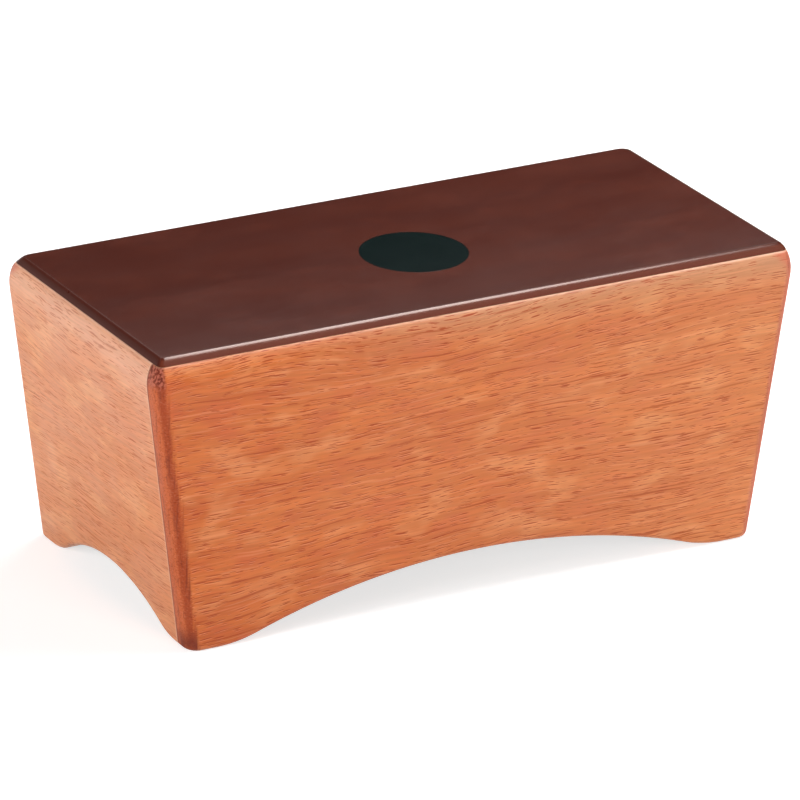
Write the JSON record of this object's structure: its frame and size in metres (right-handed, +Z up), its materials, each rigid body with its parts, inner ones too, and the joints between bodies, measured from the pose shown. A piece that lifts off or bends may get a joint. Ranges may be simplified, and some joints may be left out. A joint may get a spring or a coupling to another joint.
{
  "type": "bongo cajon",
  "caption": "Tapered wooden box drum with a rounded dark playing plate, arched bottom edges, corner feet, an open base and an inner divider.",
  "frame": {"origin": "on the floor under the middle of the box", "axes": "+X along the length towards the high chamber, -Y out of the front panel, +Z up through the playing plate"},
  "size_m": [0.3998, 0.183, 0.1725],
  "materials": {
    "panel_wood": "satin stained hardwood",
    "plate_wood": "glossy dark lacquered hardwood",
    "disc_print": "plain dark round print",
    "divider_ply": "unfinished plywood",
    "inner_wood": "unfinished softwood"
  },
  "bodies": {
    "root": {"front_panel": "panel_wood", "rear_panel": "panel_wood", "left_panel": "panel_wood", "right_panel": "panel_wood", "playing_plate": "plate_wood", "plate_disc": "disc_print", "divider_panel": "divider_ply", "plate_batten_left": "inner_wood", "plate_batten_right": "inner_wood", "plate_batten_front_low": "inner_wood", "plate_batten_front_high": "inner_wood", "plate_batten_rear_low": "inner_wood", "plate_batten_rear_high": "inner_wood", "divider_batten_low": "inner_wood", "divider_batten_high": "inner_wood", "divider_cleat_front_low": "inner_wood", "divider_cleat_front_high": "inner_wood", "divider_cleat_rear_low": "inner_wood", "divider_cleat_rear_high": "inner_wood", "corner_block_front_left": "inner_wood", "corner_block_front_right": "inner_wood", "corner_block_rear_left": "inner_wood", "corner_block_rear_right": "inner_wood"}
  },
  "joints": []
}
